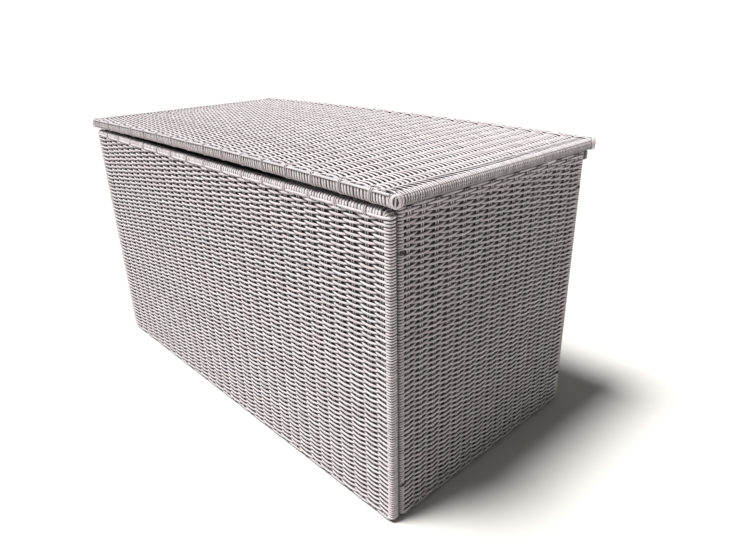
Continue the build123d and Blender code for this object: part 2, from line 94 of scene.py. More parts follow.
class Strands:
    """Collects strands, in millimetres, and writes them as one mesh."""

    def __init__(self):
        self.parts = []

    def add(self, P, N, width, thick, tone=None, cavity=None, k=8, groove=0.9):
        P = np.asarray(P, float)
        N = np.broadcast_to(np.asarray(N, float), P.shape)
        if P.ndim == 2:
            P, N = P[None], N[None]
        V = tubes(P, N, width, thick, k)
        S = P.shape[0]
        if tone is None:
            tone = rng.random(S)
        hue = rng.random(S)
        # Less light reaches the strand's flanks, where it lies against its neighbours, and its underside.
        flank = 1 - groove * (1 - np.clip(0.34 + 0.86 * section(k)[1], 0, 1))
        cav = np.broadcast_to(np.asarray(1.0 if cavity is None else cavity, float), V.shape[:3]) * flank
        length = np.concatenate([np.zeros((S, 1)), np.cumsum(np.linalg.norm(np.diff(P, axis=1), axis=2), axis=1)], axis=1)
        self.parts.append((V, np.broadcast_to(tone, (S,)), hue, cav, length, rng.random(S) * 50))

    def tris(self):
        return sum(V.shape[0] * ((V.shape[1] - 1) * V.shape[2] * 2 + 2 * (V.shape[2] - 2)) for V, *_ in self.parts)

    def split(self, most=185000):
        """The same strands as several sets, each under that many triangles."""
        sets, cur, n = [], Strands(), 0
        for V, tone, hue, cav, length, off in self.parts:
            per = (V.shape[1] - 1) * V.shape[2] * 2 + 2 * (V.shape[2] - 2)
            i = 0
            while i < V.shape[0]:
                room = max(int((most - n) // per), 0)
                if room == 0:
                    sets.append(cur)
                    cur, n = Strands(), 0
                    continue
                j = min(V.shape[0], i + room)
                cur.parts.append((V[i:j], tone[i:j], hue[i:j], cav[i:j], length[i:j], off[i:j]))
                n += per * (j - i)
                i = j
        sets.append(cur)
        return sets

    def mesh(self, name):
        verts, quads, uv, uvs, cols = [], [], [], [], []
        base = 0
        # One strip of the bake's UV map for each strand: strips are laid end to end in rows.
        lens = np.concatenate([p[4][:, -1] for p in self.parts])
        W = max(lens.max() * 1.001, math.sqrt(lens.sum() * 22.0))
        x = np.zeros(len(lens))
        row = np.zeros(len(lens), int)
        cx, cr = 0.0, 0
        for i, l in enumerate(lens):
            if cx + l > W:
                cx, cr = 0.0, cr + 1
            x[i], row[i] = cx, cr
            cx += l + 1.5
        R = cr + 1
        W = W + 2.0
        at = 0
        for V, tone, hue, cav, length, off in self.parts:
            S, n, k, _ = V.shape
            verts.append(V.reshape(-1, 3))
            s = np.arange(S)[:, None, None]
            i = np.arange(n - 1)[None, :, None]
            j = np.arange(k)[None, None, :]
            a = base + s * n * k + i * k + j
            b = base + s * n * k + i * k + (j + 1) % k
            q = np.stack([a, a + k, b + k, b], axis=-1).reshape(-1, 4)
            quads.append(q)
            px, pr = x[at:at + S], row[at:at + S]
            U = (px[:, None] + length) / W
            v0 = (pr + 0.06) / R
            dv = 0.88 / R
            u0 = np.broadcast_to(U[:, :-1, None], (S, n - 1, k))
            u1 = np.broadcast_to(U[:, 1:, None], (S, n - 1, k))
            va = np.broadcast_to(v0[:, None, None] + dv * j / k, (S, n - 1, k))
            vb = va + dv / k
            uv.append(np.stack([np.stack([u0, va], -1), np.stack([u1, va], -1), np.stack([u1, vb], -1), np.stack([u0, vb], -1)], axis=3).reshape(-1, 2))
            L = (length + off[:, None] * 20) * MM
            l0 = np.broadcast_to(L[:, :-1, None], (S, n - 1, k))
            l1 = np.broadcast_to(L[:, 1:, None], (S, n - 1, k))
            ja = np.broadcast_to(j / k, (S, n - 1, k))
            jb = ja + 1 / k
            uvs.append(np.stack([np.stack([l0, ja], -1), np.stack([l1, ja], -1), np.stack([l1, jb], -1), np.stack([l0, jb], -1)], axis=3).reshape(-1, 2))
            # End caps, as quads.
            caps = [(0, 1, 2, 3), (0, 3, 4, 7), (4, 5, 6, 7)] if k == 8 else [(0, 1, 2, 3), (0, 3, 4, 5)]
            c = np.array(caps)
            s1 = np.arange(S)[:, None, None]
            start = base + s1 * n * k + c[None]
            end = base + s1 * n * k + (n - 1) * k + c[None, :, ::-1]
            for e, col in ((start, 0), (end, n - 1)):
                quads.append(e.reshape(-1, 4))
                uu = np.broadcast_to(U[:, col, None, None], (S, len(caps), 4)) + (-1 if col == 0 else 1) * 0.3 / W
                vv = np.broadcast_to((v0 + dv * 0.5)[:, None, None], (S, len(caps), 4)) + np.array([0, 0, 1, 1])[None, None] * dv * 0.12
                du = np.array([0, 1, 1, 0])[None, None] * 0.25 / W * np.ones((S, len(caps), 1))
                shift = np.arange(len(caps))[None, :, None] * dv * 0.13 - dv * 0.2
                uv.append(np.stack([uu + du - (0.25 / W if col == 0 else 0), vv + shift], -1).reshape(-1, 2))
                uvs.append(np.stack([np.broadcast_to(L[:, col, None, None], (S, len(caps), 4)), np.full((S, len(caps), 4), 0.5)], -1).reshape(-1, 2))
            # The colour attribute holds each strand's tone, its painted shade and its hue.
            col = np.ones((S, n, k, 4))
            col[..., 0] = tone[:, None, None]
            col[..., 1] = cav
            col[..., 2] = hue[:, None, None]
            cols.append(col.reshape(-1, 4))
            base += S * n * k
            at += S
        verts = np.concatenate(verts) * MM
        quads = np.concatenate(quads)
        uv = np.clip(np.concatenate(uv), 0.0005, 0.9995)
        uvs = np.concatenate(uvs)
        cols = np.concatenate(cols)
        me = bpy.data.meshes.new(name)
        me.vertices.add(len(verts))
        me.vertices.foreach_set("co", verts.astype(np.float32).ravel())
        me.loops.add(len(quads) * 4)
        me.loops.foreach_set("vertex_index", quads.astype(np.int32).ravel())
        me.polygons.add(len(quads))
        me.polygons.foreach_set("loop_start", (np.arange(len(quads)) * 4).astype(np.int32))
        me.polygons.foreach_set("use_smooth", np.ones(len(quads), bool))
        layer = me.uv_layers.new(name="OFBake")
        layer.data.foreach_set("uv", uv.astype(np.float32).ravel())
        layer = me.uv_layers.new(name="strand")
        layer.data.foreach_set("uv", uvs.astype(np.float32).ravel())
        attr = me.color_attributes.new(name="strand_tone_and_shade", type="FLOAT_COLOR", domain="POINT")
        attr.data.foreach_set("color", cols.astype(np.float32).ravel())
        me.update(calc_edges=True)
        return me

    def pieces(self, name, body, material, replaces):
        made = []
        sets = [s for s in self.split() if s.parts]
        for i, s in enumerate(sets):
            label = name if len(sets) == 1 else f"{name}_{i + 1}"
            ob = bpy.data.objects.new(label, s.mesh(label))
            bpy.context.scene.collection.objects.link(ob)
            ob.data.materials.append(material)
            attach(ob, body)
            if replaces:
                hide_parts(*replaces)
            made.append(ob)
        return made


# ------------------------------------------------------------------ materials
def nodes_of(name):
    m = bpy.data.materials.new(name)
    m.use_nodes = True
    nt = m.node_tree
    nt.nodes.clear()
    out = nt.nodes.new("ShaderNodeOutputMaterial")
    p = nt.nodes.new("ShaderNodeBsdfPrincipled")
    nt.links.new(p.outputs[0], out.inputs[0])
    return m, nt, p


def link(nt, a, b):
    nt.links.new(a, b)


def math_node(nt, op, a, b=None, c=None, clamp=False):
    n = nt.nodes.new("ShaderNodeMath")
    n.operation = op
    n.use_clamp = clamp
    for i, v in enumerate((a, b, c)):
        if v is None:
            continue
        if isinstance(v, (int, float)):
            n.inputs[i].default_value = v
        else:
            link(nt, v, n.inputs[i])
    return n.outputs[0]


def noise(nt, vector, scale, detail=3.0, rough=0.55):
    n = nt.nodes.new("ShaderNodeTexNoise")
    n.inputs["Scale"].default_value = scale
    n.inputs["Detail"].default_value = detail
    n.inputs["Roughness"].default_value = rough
    if vector is not None:
        link(nt, vector, n.inputs["Vector"])
    return n.outputs["Fac"]


def ramp(nt, fac, stops):
    n = nt.nodes.new("ShaderNodeValToRGB")
    e = n.color_ramp.elements
    e[0].position, e[0].color = stops[0][0], (*stops[0][1], 1)
    e[1].position, e[1].color = stops[-1][0], (*stops[-1][1], 1)
    for pos, colour in stops[1:-1]:
        k = e.new(pos)
        k.color = (*colour, 1)
    link(nt, fac, n.inputs[0])
    return n.outputs[0]


def mix(nt, fac, a, b, mode="MIX"):
    n = nt.nodes.new("ShaderNodeMix")
    n.data_type = "RGBA"
    n.blend_type = mode
    for sock, v in ((n.inputs[0], fac), (n.inputs[6], a), (n.inputs[7], b)):
        if isinstance(v, (int, float)):
            sock.default_value = v
        elif isinstance(v, tuple):
            sock.default_value = (*v, 1)
        else:
            link(nt, v, sock)
    return n.outputs[2]


def bump(nt, p, height, strength, distance):
    n = nt.nodes.new("ShaderNodeBump")
    n.inputs["Strength"].default_value = strength
    n.inputs["Distance"].default_value = distance
    link(nt, height, n.inputs["Height"])
    link(nt, n.outputs[0], p.inputs["Normal"])


def scaled(nt, vector, s):
    n = nt.nodes.new("ShaderNodeVectorMath")
    n.operation = "MULTIPLY"
    n.inputs[1].default_value = s
    link(nt, vector, n.inputs[0])
    return n.outputs[0]


def strand_material():
    """Whitewashed polyethylene strand: pale streaks along its length over a warmer grey."""
    m, nt, p = nodes_of("rattan_strand")
    at = nt.nodes.new("ShaderNodeAttribute")
    at.attribute_type = "GEOMETRY"
    at.attribute_name = "strand_tone_and_shade"
    sep = nt.nodes.new("ShaderNodeSeparateColor")
    link(nt, at.outputs["Color"], sep.inputs[0])
    tone, cavity, hue = sep.outputs
    uvn = nt.nodes.new("ShaderNodeUVMap")
    uvn.uv_map = "strand"
    fine = noise(nt, scaled(nt, uvn.outputs[0], (60, 26, 1)), 1.0, 4.0, 0.6)
    broad = noise(nt, scaled(nt, uvn.outputs[0], (16, 7, 1)), 1.0, 2.0, 0.5)
    grain = noise(nt, scaled(nt, uvn.outputs[0], (500, 70, 1)), 1.0, 2.0, 0.6)
    streak = math_node(nt, "ADD", math_node(nt, "MULTIPLY", fine, 0.65), math_node(nt, "MULTIPLY", broad, 0.35))
    colour = ramp(nt, streak, [
        (0.30, (0.36, 0.319, 0.310)),
        (0.42, (0.55, 0.506, 0.512)),
        (0.52, (0.69, 0.646, 0.660)),
        (0.66, (0.845, 0.810, 0.832)),
    ])
    lift = math_node(nt, "MULTIPLY_ADD", tone, 0.20, 0.90)
    warm = ramp(nt, hue, [(0.0, (0.985, 0.985, 0.99)), (0.55, (1.0, 0.985, 0.98)), (1.0, (1.0, 0.955, 0.94))])
    colour = mix(nt, 1.0, colour, warm, "MULTIPLY")
    # Painted shade: the attribute's shade channel darkens the base colour in the grooves, openings and shaded faces.
    shade = math_node(nt, "MULTIPLY", lift, cavity)
    gray = nt.nodes.new("ShaderNodeCombineColor")
    for s in gray.inputs:
        link(nt, shade, s)
    colour = mix(nt, 1.0, colour, gray.outputs[0], "MULTIPLY")
    link(nt, colour, p.inputs["Base Color"])
    link(nt, math_node(nt, "MULTIPLY_ADD", fine, 0.30, 0.27), p.inputs["Roughness"])
    p.inputs["Specular IOR Level"].default_value = 0.5
    bump(nt, p, math_node(nt, "ADD", fine, math_node(nt, "MULTIPLY", grain, 0.4)), 0.35, 0.0004)
    return m


def metal_material(name, colour, rough, metallic, scale=(1, 1, 1), grain=400.0, depth=0.00008, spots=0.1):
    m, nt, p = nodes_of(name)
    tc = nt.nodes.new("ShaderNodeTexCoord")
    v = scaled(nt, tc.outputs["Object"], scale)
    f = noise(nt, v, grain, 4.0)
    b = noise(nt, tc.outputs["Object"], 22.0, 3.0)
    dark = tuple(c * (1 - spots * 1.6) for c in colour)
    light = tuple(min(1.0, c * (1 + spots)) for c in colour)
    both = math_node(nt, "ADD", math_node(nt, "MULTIPLY", f, 0.5), math_node(nt, "MULTIPLY", b, 0.5))
    link(nt, ramp(nt, both, [(0.35, dark), (0.5, colour), (0.65, light)]), p.inputs["Base Color"])
    p.inputs["Metallic"].default_value = metallic
    link(nt, math_node(nt, "MULTIPLY_ADD", b, 0.25, rough - 0.12), p.inputs["Roughness"])
    bump(nt, p, f, 0.35, depth)
    return m


def board_material():
    m, nt, p = nodes_of("base_board")
    tc = nt.nodes.new("ShaderNodeTexCoord")
    grain = noise(nt, scaled(nt, tc.outputs["Object"], (2.2, 60, 30)), 1.6, 6.0, 0.6)
    pores = noise(nt, scaled(nt, tc.outputs["Object"], (60, 900, 400)), 1.0, 2.0)
    both = math_node(nt, "ADD", math_node(nt, "MULTIPLY", grain, 0.75), math_node(nt, "MULTIPLY", pores, 0.25))
    link(nt, ramp(nt, both, [(0.32, (0.11, 0.085, 0.065)), (0.5, (0.235, 0.19, 0.15)), (0.66, (0.36, 0.305, 0.25))]), p.inputs["Base Color"])
    link(nt, math_node(nt, "MULTIPLY_ADD", grain, 0.2, 0.55), p.inputs["Roughness"])
    bump(nt, p, both, 0.4, 0.0004)
    return m


def cloth_material(name, dark, light, pitch, uv="cloth"):
    """Plain woven cloth: threads both ways at the given pitch in metres, with slubs and slow stains."""
    m, nt, p = nodes_of(name)
    uvn = nt.nodes.new("ShaderNodeUVMap")
    uvn.uv_map = uv
    s = 2 * math.pi / pitch / 2
    sep = nt.nodes.new("ShaderNodeSeparateXYZ")
    link(nt, uvn.outputs[0], sep.inputs[0])
    a = math_node(nt, "SINE", math_node(nt, "MULTIPLY", sep.outputs[0], s))
    b = math_node(nt, "SINE", math_node(nt, "MULTIPLY", sep.outputs[1], s))
    weave = math_node(nt, "MULTIPLY_ADD", math_node(nt, "MULTIPLY", a, b), 0.5, 0.5)
    slub = noise(nt, scaled(nt, uvn.outputs[0], (40, 700, 1)), 1.0, 3.0)
    slub2 = noise(nt, scaled(nt, uvn.outputs[0], (700, 40, 1)), 1.0, 3.0)
    stain = noise(nt, uvn.outputs[0], 5.0, 4.0)
    f = math_node(nt, "ADD", math_node(nt, "MULTIPLY", weave, 0.35), math_node(nt, "MULTIPLY", math_node(nt, "ADD", slub, slub2), 0.2))
    f = math_node(nt, "ADD", f, math_node(nt, "MULTIPLY", stain, 0.35))
    link(nt, ramp(nt, f, [(0.3, dark), (0.75, light)]), p.inputs["Base Color"])
    p.inputs["Roughness"].default_value = 0.85
    p.inputs["Sheen Weight"].default_value = 0.25
    p.inputs["Sheen Roughness"].default_value = 0.5
    bump(nt, p, math_node(nt, "ADD", weave, math_node(nt, "MULTIPLY", slub, 0.6)), 0.5, 0.0004)
    return m


STRAND = strand_material()
PAINT = metal_material("frame_paint", (0.24, 0.215, 0.20), 0.5, 0.0, grain=900.0, depth=0.0002, spots=0.12)
STEEL = metal_material("bright_steel", (0.60, 0.60, 0.59), 0.36, 1.0, scale=(1, 40, 40), grain=25.0, spots=0.08)
BLACK = metal_material("black_bolt", (0.055, 0.050, 0.046), 0.42, 0.6, grain=700.0, depth=0.00015, spots=0.25)
PLASTIC = metal_material("black_plastic", (0.030, 0.030, 0.031), 0.5, 0.0, grain=1500.0, depth=0.00012, spots=0.15)
BOARD = board_material()
LINER = cloth_material("liner_fabric", (0.07, 0.072, 0.072), (0.17, 0.172, 0.17), 0.0016)
TAPE = cloth_material("liner_webbing", (0.012, 0.012, 0.012), (0.045, 0.044, 0.043), 0.0012)

SLOT_MATERIAL = {"frame_paint": PAINT, "bright_steel": STEEL, "black_bolt": BLACK, "black_plastic": PLASTIC, "base_board": BOARD}
for part in frame["record"]["subparts"]:
    mat = SLOT_MATERIAL.get(part["material_slot"])
    ob = frame["nodes"].get(part["node"])
    if mat is not None and ob is not None:
        ob.data.materials.clear()
        ob.data.materials.append(mat)

# ------------------------------------------------------------------ the woven panels
BODY_W, BODY_D = 1400.0, 705.0
BOTTOM, TOP = 4.0, 745.0
PITCH = 6.44
MID, AMP = 5.95, 3.85


def smooth_noise(n, scale, amp, rows):
    """(rows, n) of slow noise along each row."""
    m = max(4, int(n / scale))
    knots = rng.normal(size=(rows, m))
    x = np.linspace(0, m - 1, n)
    i = np.minimum(x.astype(int), m - 2)
    f = x - i
    f = f * f * (3 - 2 * f)
    return amp * (knots[:, i] * (1 - f) + knots[:, i + 1] * f)


def smooth(t):
    t = np.clip(t, 0, 1)
    return t * t * (3 - 2 * t)


def arc_pts(cx, cy, r, a0, a1, n):
    a = np.radians(np.linspace(a0, a1, n))
    return [(cx + r * math.cos(t), cy + r * math.sin(t)) for t in a]


def cavity_of_depth(w, d0, d1, low):
    """Light left at a depth w: all of it down to d0, and low from d1."""
    return 1 - (1 - low) * smooth((w - d0) / (d1 - d0))


def weft_profile(u0, u1, warps, thick=24.0, corner=3.5, stile=15.0, seg=8, rise=1.7):
    """Along a weft, from its end behind the left stile round to the one behind the right stile: u, how far out it lies
    between the warps for both parities (1 over, -1 under), its depth where it is wrapped round a stile, and where it isn't."""
    c = 2.15
    left = [(u0 + 27, thick - 7.5), (u0 + 22, thick - 3.4), (u0 + 15, thick - c), (u0 + c + corner, thick - c)]
    left += arc_pts(u0 + c + corner, thick - c - corner, corner, 90, 180, 4)[1:]
    left += [(u0 + c, thick / 2)]
    left += arc_pts(u0 + c + corner, c + corner, corner, 180, 270, 4)
    right = [(u0 + u1 - a, b) for a, b in left[::-1]]
    first, last = warps[0], warps[-1]
    s0, s1 = u0 + stile, u1 - stile
    us = [u0 + c + corner + 3.5]
    us += list(np.linspace(s0, first, 6)[:-1])
    for a, b in zip(warps[:-1], warps[1:]):
        us += list(np.linspace(a, b, seg + 1)[:-1])
    us += list(np.linspace(last, s1, 6))
    us += [u1 - c - corner - 3.5]
    us = np.array(us)
    phi = np.interp(us, warps, np.pi * np.arange(len(warps)))
    F = []
    for parity in (0, 1):
        s = np.cos(phi) * (1 if parity == 0 else -1)
        f = np.sign(s) * np.abs(s) ** 0.72
        for edge, level, k in ((first, s0, 0), (last, s1, len(warps) - 1)):
            over = (1 if k % 2 == 0 else -1) * (1 if parity == 0 else -1) > 0
            side = us < edge if k == 0 else us > edge
            t = np.clip(np.abs(us - edge) / abs(level - edge), 0, 1)
            f = np.where(side, 1.0 if over else -np.cos(np.pi * t ** rise), f)
        F.append(np.concatenate([np.ones(len(left)), f, np.ones(len(right))]))
    lu, lw = np.array(left).T
    ru, rw = np.array(right).T
    U = np.concatenate([lu, us, ru])
    W = np.concatenate([lw, np.zeros(len(us)), rw])
    core = np.concatenate([np.zeros(len(left)), np.ones(len(us)), np.zeros(len(right))])
    return U, np.array(F), W, core


def hump(u, a, b):
    """1 between a and b, falling to 0 within 3 mm outside."""
    return smooth((u - a + 3.0) / 3.0) * smooth((b + 3.0 - u) / 3.0)


def weft_rows(strands, u0, u1, warps, zs, parity, to_world, sag=None, dodge=(), bulge=None, inset=None, mid=MID, amp=AMP,
              widths=(6.3, 5.0, 5.0), jitter=0.24, light=(0.26, 0.82, 0.03), groove=0.95, seam=0.0, face=(15.5, 6.0, 0.6), holes=0.0, dim=1.0, outer=1.0, **ends):
    U, F, We, core = weft_profile(u0, u1, warps, **ends)
    n, S = len(U), len(zs)
    f = F[parity]
    mid = np.broadcast_to(np.asarray(mid, float), (S,))[:, None]
    amp = np.broadcast_to(np.asarray(amp, float), (S,))[:, None]
    W = np.where(core > 0, mid - amp * f, We)
    W = W + smooth_noise(n, 5, 0.14, S) * core
    Z = zs[:, None] + smooth_noise(n, 12, jitter, S) + smooth_noise(n, 3, 0.09, S)
    if sag is not None:
        Z = Z + sag(U[None, :], zs[:, None])
    squeeze = np.zeros((S, n))
    for ub, zb in dodge:
        d = Z - zb
        near = np.exp(-((U[None, :] - ub) / 9.5) ** 4)
        Z = Z + np.sign(d) * 4.3 * np.exp(-(np.abs(d) / 8.6) ** 1.2) * near
        squeeze = np.maximum(squeeze, near * np.exp(-(np.abs(d) / 13.0) ** 2))
    if bulge is not None:
        W = W - bulge(U[None, :], zs[:, None]) * core
    Uj = np.broadcast_to(U, (S, n)) + smooth_noise(n, 9, 0.4, S) * core
    if inset is not None:
        uc, half = (u0 + u1) / 2, (u1 - u0) / 2
        q = Uj - uc
        Uj = Uj - np.sign(q) * inset(zs)[:, None] * smooth((np.abs(q) - (half - 55)) / 50)
    # Normals in the (u, w) plane.
    du, dw = np.gradient(Uj, axis=1), np.gradient(W, axis=1)
    P = to_world(Uj, W, Z)
    N = to_world(Uj + dw, W - du, Z) - P
    over, narrow, edge = widths
    width = np.where(core > 0, narrow + (over - narrow) * smooth(f * 1.15), edge)
    width = width * (1 + rng.normal(size=(S, 1)) * 0.018) * (1 - 0.27 * squeeze)
    # Painted shade: strands darken where they turn round a stile or rim (face), towards the crevices between two panels
    # (seam), over a whole panel (dim) and at the ends of the outermost rows (outer).
    turn = np.where(core > 0, 1.0, 1 - face[2] * smooth((We - face[0]) / face[1]) * (0.72 + 0.5 * rng.random((S, 1))))
    if seam:
        from_end = (U - u0) if seam < 0 else (u1 - U)
        turn = turn * (1 - 0.6 * smooth((6.5 - from_end) / 5.0))
    turn = np.broadcast_to(turn, (S, n)) * dim
    turn[[0, -1]] *= np.where(core > 0, 1.0, outer)
    d0, d1, least = light
    d0, d1 = (np.broadcast_to(np.asarray(d, float), (S,))[:, None] for d in (d0, d1))
    cav = np.where(core > 0, cavity_of_depth(-f, d0, d1, least), 1.0) * turn
    cav = cav[..., None]
    if holes:
        # The flanks of the strands are in shade at the openings between the outer warps and the stiles.
        near = np.maximum(hump(U, warps[0] - holes, warps[0] - 3.0), hump(U, warps[-1] + 3.0, warps[-1] + holes))
        low = np.clip(1.05 - 0.62 * np.maximum(section(8)[1], 0) ** 2 * 2, 0, 1)
        width = width * (1 - 0.26 * near)
        cav = cav * (1 - 0.9 * near[:, None] * low[None, :])
        # The strands that come up from under the outer warps stay in shade until they are over the stile.
        run = np.concatenate([[0], np.cumsum(np.hypot(np.diff(U), np.diff(We)))])
        for k, sign in ((0, -1), (len(warps) - 1, 1)):
            beyond = sign * (run - np.interp(warps[k], U[11:-11], run[11:-11]))
            shade = np.where(beyond > -2, smooth((holes + 12.0 - beyond) / 7.0), 0) * (beyond < holes + 12.0)
            under = ((parity + k) % 2 == 1)[:, None]
            cav = cav * (1 - 0.93 * shade[None, :, None] * under[..., None])
    strands.add(P, unit(N), width, np.where(core > 0, 4.3, 4.2), cavity=cav, groove=groove)


def warp_pairs(strands, warps, zs, parity, to_world, ends, sag=None, bulge=None, mid=MID, wiggle=0.9, lift=0.6, spread=3.1, wide=3.6, dark=0.92, thick=3.0, groove=1.0):
    """The pairs of thinner strands that the wefts pass in front of and behind. ends are the (z, w) of both ends of each pair."""
    n = len(zs)
    mid = np.broadcast_to(np.asarray(mid, float), (n,))
    for s in (-1, 1):
        U = np.array(warps)[:, None] + s * spread + smooth_noise(n + 2, 9, 0.3, len(warps))
        over = (parity[None, :] + np.arange(len(warps))[:, None]) % 2 == 0
        W = mid[None, :] - lift + np.where(over, wiggle, -wiggle)
        Z = np.broadcast_to(zs, W.shape)
        (za, wa), (zb, wb) = ((np.broadcast_to(np.asarray(a, float), (len(warps),))[:, None] for a in e) for e in ends)
        W = np.concatenate([wa, W, wb], axis=1)
        Z = np.concatenate([za, Z, zb], axis=1)
        if sag is not None:
            Z = Z + sag(U, Z)
        if bulge is not None:
            W = W - bulge(U, Z)
        P = to_world(U, W, Z)
        N = to_world(U, W - 1, Z) - P
        # Painted shade: the warps lie behind the wefts and are darkened by dark.
        strands.add(P, N, wide, thick, cavity=dark, k=6, groove=groove)


def loop_profile(a, b, r, n=4):
    """A closed rounded rectangle of half sizes a (outward) and b (up), starting at the inner underside."""
    pts = []
    for cx, cy, t0 in ((-a + r, -b + r, 225), (a - r, -b + r, 270), (a - r, b - r, 0), (-a + r, b - r, 90), (-a + r, -b + r, 180)):
        if t0 == 225:
            pts += arc_pts(cx, cy, r, 225, 270, 3)
        elif t0 == 180:
            pts += arc_pts(cx, cy, r, 180, 225, 3)
        else:
            pts += arc_pts(cx, cy, r, t0, t0 + 90, n)
        if t0 == 270:
            pts.append((a, 0.0))
        if t0 == 0:
            pts.append((0.0, b))
        if t0 == 90:
            pts.append((-a, 0.0))
    return np.array(pts)


def loops(strands, C, E1, E2, a, b, r, width, thick, slant=0.0, T=None, tone=None, cavity=1.0, wobble=0.25, groove=0.9):
    """Wraps round a tube: one closed loop at each centre C (L, 3), in the plane of E1 (outward) and E2 (up)."""
    C, E1, E2 = (np.asarray(x, float) for x in (C, E1, E2))
    L = len(C)
    q = loop_profile(a, b, r)
    n = len(q)
    A = np.cross(E1, E2) if T is None else np.asarray(T, float)
    p1 = q[None, :, 0, None] * E1[:, None, :]
    p2 = q[None, :, 1, None] * E2[:, None, :]
    lean = slant * q[None, :, 1, None] / b * A[:, None, :]
    j = smooth_noise(n, 4, wobble, L)[..., None] * A[:, None, :]
    P = C[:, None, :] + p1 + p2 + lean + j
    t = np.gradient(q, axis=0)
    nrm = np.stack([t[:, 1], -t[:, 0]], -1)
    N = nrm[None, :, 0, None] * E1[:, None, :] + nrm[None, :, 1, None] * E2[:, None, :]
    strands.add(P, unit(N), width, thick, tone=tone, cavity=cavity, groove=groove)


# Painted shade: the wraps on top of the rail and inside it are darkened, as they lie in shade under the lid and inside
# the box: one value for each point of loop_profile.
TOP_SHADE = (1 - 0.45 * smooth((loop_profile(9.9, 9.9, 8.3)[:, 1] - 5.5) / 4.0))[None, :, None]
STRAP_SHADE = (1 - 0.50 * smooth((loop_profile(11.5, 11.6, 8.0)[:, 1] - 6.0) / 4.5))[None, :, None]


def clear_of(us, straps, gap):
    """Wraps between the strap pairs, spread evenly in each stretch."""
    out = []
    ends = [us[0]] + [e for s in straps for e in (s - gap, s + gap)] + [us[-1]]
    for a, b in zip(ends[::2], ends[1::2]):
        if b - a < -0.5:
            continue
        m = max(1, int(round((b - a) / (us[1] - us[0]))) + 1)
        out += list(np.linspace(a, b, m)) if m > 1 else [(a + b) / 2]
    return np.array(out)


def panel_top(u, half, sag):
    """Height of a panel's top edge at u."""
    return TOP - sag * (1 - (u / half) ** 2)


def border(strands, u0, u1, warps, to_world, sag, half, pitch=8.8, straps=()):
    """The wrapped top rail: short wraps over the rail, a straight strand along their lower ends, and every second warp pair carried over both."""
    us = clear_of(np.arange(u0 + 18.5, u1 - 18.0, pitch), straps, 7.9)
    us = us + rng.normal(size=len(us)) * 0.3

    def frame_at(U, drop=12.0):
        c = to_world(U, np.full_like(U, 12.0), panel_top(U, half, sag) - drop)
        e1 = to_world(U, np.full_like(U, 11.0), panel_top(U, half, sag) - drop) - c
        e2 = to_world(U, np.full_like(U, 12.0), panel_top(U, half, sag) - drop + 1.0) - c
        return c, unit(e1), unit(e2)

    c, e1, e2 = frame_at(us)
    loops(strands, c, e1, e2, 9.9, 9.9, 8.3, 7.2, 4.2, slant=1.5, wobble=0.3, cavity=TOP_SHADE, groove=0.8)
    for s in straps:
        for d in (-2.5, 2.5):
            U = np.array([s + d + rng.normal() * 0.25])
            c, e1, e2 = frame_at(U, 12.9)
            loops(strands, c, e1, e2, 11.5, 11.6, 8.0, 3.4, 3.2, slant=1.6, wobble=0.2, cavity=STRAP_SHADE, groove=1.1)
    # Wraps that fan round the two top corners.
    for end, s in ((u0, 1), (u1, -1)):
        for t in np.radians(np.linspace(12, 74, 3)):
            R = 5.0
            cu = end + s * (12.0 + R) - s * R * math.sin(t)
            cz = panel_top(cu, half, sag) - 12.0 - R + R * math.cos(t)
            U = np.array([cu])
            c = to_world(U, np.array([12.0]), np.array([cz]))
            e1 = unit(to_world(U, np.array([11.0]), np.array([cz])) - c)
            e2 = unit(to_world(U - s * math.sin(t), np.array([12.0]), np.array([cz + math.cos(t)])) - c)
            loops(strands, c, e1, e2, 9.9, 9.9, 8.3, 4.4, 4.0, wobble=0.1, cavity=TOP_SHADE * 0.92, groove=1.1)
    # The straight strand under the wraps, carried round the stiles.
    U, F, We, core = weft_profile(u0, u1, warps, corner=6.0, stile=13.0)
    n = len(U)
    dip = np.zeros(n)
    for s in straps:
        dip = np.maximum(dip, np.exp(-((U - s) / 9.0) ** 4))
    W = np.where(core > 0, 0.9 + 2.2 * dip, We)
    Z = panel_top(U, half, sag) - 15.3 + smooth_noise(n, 14, 0.22, 1)[0]
    P = to_world(U, W, Z)
    N = to_world(U + np.gradient(W), W - np.gradient(U), Z) - P
    strands.add(P, unit(N), 5.7, 4.1, tone=0.8)


def underside(strands, u0, u1, to_world):
    """Strands along the bottom edge, between the wraps of the stiles."""
    U = np.arange(u0 + 15, u1 - 14, 14.0)
    for w, z in ((8.0, 6.1), (14.6, 6.1), (20.9, 7.0)):
        n = len(U)
        Z = np.full(n, z) + smooth_noise(n, 10, 0.15, 1)[0]
        P = to_world(U, np.full(n, w), Z)
        N = to_world(U, np.full(n, w), Z - 1) - P
        # Painted shade: the strands under the bottom edge are darkened, as little light reaches them.
        strands.add(P, N, 6.4, 3.8, cavity=0.55)


def bottom_inset(z):
    """The panel's lower corners are rounded, 15 mm wide and 9 mm high."""
    t = np.clip((BOTTOM + 10.5 - z) / 9.0, 0, 1)
    return 15.0 * (1 - np.sqrt(1 - t * t))


